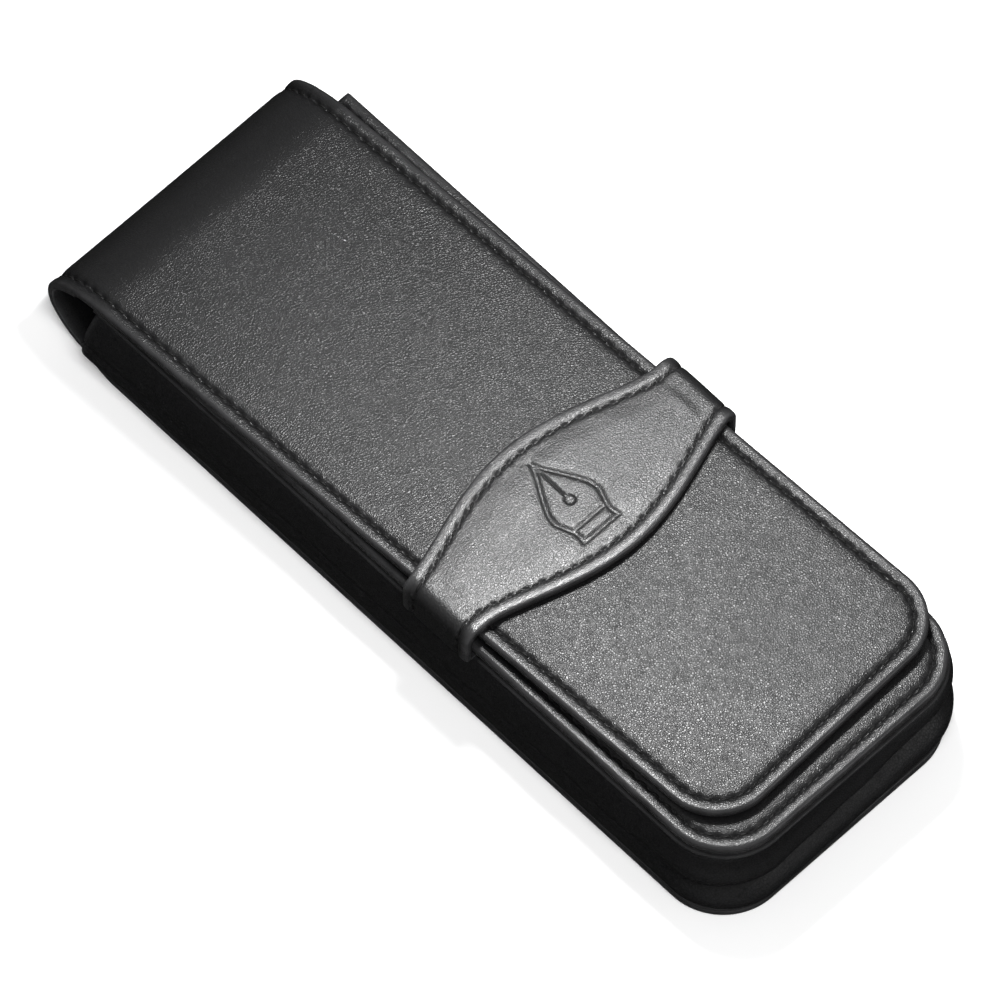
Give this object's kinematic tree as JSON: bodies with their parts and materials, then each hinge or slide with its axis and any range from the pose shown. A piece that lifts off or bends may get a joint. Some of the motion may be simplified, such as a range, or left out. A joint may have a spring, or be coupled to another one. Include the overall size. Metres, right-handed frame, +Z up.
{
  "type": "fountain pen case",
  "caption": "Flat leather pen case with a bulged gusset, inner dividers, a long flap that folds over the mouth and a stitched strap that holds the flap down.",
  "frame": {"origin": "on the surface that the case lies on, under the middle of the closed case's bounding box", "axes": "+X along the case from the mouth and its fold to the closed bottom, +Y across the case, +Z up from the back panel to the front panel"},
  "size_m": [0.1746, 0.0684, 0.0322],
  "materials": {
    "black_leather": "smooth fine-grained nappa, satin",
    "lining_leather": "soft matt lining leather",
    "board": "pressed fibre board",
    "padding": "thin foam",
    "thread": "waxed black thread"
  },
  "bodies": {
    "case": {"back_panel": "black_leather", "back_board": "board", "back_lining": "lining_leather", "back_facing": "black_leather", "back_welt": "black_leather", "back_stitching": "thread", "gusset": "black_leather", "gusset_lining": "lining_leather", "divider_left": "lining_leather", "divider_right": "lining_leather", "front_panel": "black_leather", "front_board": "board", "front_lining": "lining_leather", "front_facing": "black_leather", "front_welt": "black_leather", "front_stitching": "thread", "strap": "black_leather", "strap_filler": "padding", "strap_lining": "lining_leather", "strap_stitching": "thread"},
    "fold_1": {"fold_leather_1": "black_leather", "fold_lining_1": "lining_leather", "fold_stitching_1": "thread"},
    "fold_2": {"fold_leather_2": "black_leather", "fold_lining_2": "lining_leather", "fold_stitching_2": "thread"},
    "fold_3": {"fold_leather_3": "black_leather", "fold_lining_3": "lining_leather", "fold_stitching_3": "thread"},
    "fold_4": {"fold_leather_4": "black_leather", "fold_lining_4": "lining_leather", "fold_stitching_4": "thread"},
    "fold_5": {"fold_leather_5": "black_leather", "fold_lining_5": "lining_leather", "fold_stitching_5": "thread"},
    "flap": {"flap_panel": "black_leather", "flap_board": "board", "flap_lining": "lining_leather", "flap_stitching": "thread"}
  },
  "joints": [
    {"name": "flap_open", "type": "hinge", "parent": "case", "child": "fold_1", "pos_m": [-0.0778, 0, 0], "axis": [0, -1, 0], "range_deg": [0, 30]},
    {"name": "fold_bend_1", "type": "hinge", "parent": "fold_1", "child": "fold_2", "pos_m": [-0.08352, 0, 0.0033], "axis": [0, -1, 0], "range_deg": [0, 30]},
    {"name": "fold_bend_2", "type": "hinge", "parent": "fold_2", "child": "fold_3", "pos_m": [-0.0873, 0, 0.00985], "axis": [0, -1, 0], "range_deg": [0, 30]},
    {"name": "fold_bend_3", "type": "hinge", "parent": "fold_3", "child": "fold_4", "pos_m": [-0.0873, 0, 0.01742], "axis": [0, -1, 0], "range_deg": [0, 30]},
    {"name": "fold_bend_4", "type": "hinge", "parent": "fold_4", "child": "fold_5", "pos_m": [-0.08352, 0, 0.02397], "axis": [0, -1, 0], "range_deg": [0, 30]},
    {"name": "fold_bend_5", "type": "hinge", "parent": "fold_5", "child": "flap", "pos_m": [-0.0748, 0, 0.029], "axis": [0, -1, 0], "range_deg": [0, 30]}
  ],
  "couplings": [
    {"joint": "fold_bend_1", "follows": "flap_open", "ratio": 1},
    {"joint": "fold_bend_2", "follows": "flap_open", "ratio": 1},
    {"joint": "fold_bend_3", "follows": "flap_open", "ratio": 1},
    {"joint": "fold_bend_4", "follows": "flap_open", "ratio": 1},
    {"joint": "fold_bend_5", "follows": "flap_open", "ratio": 1}
  ]
}
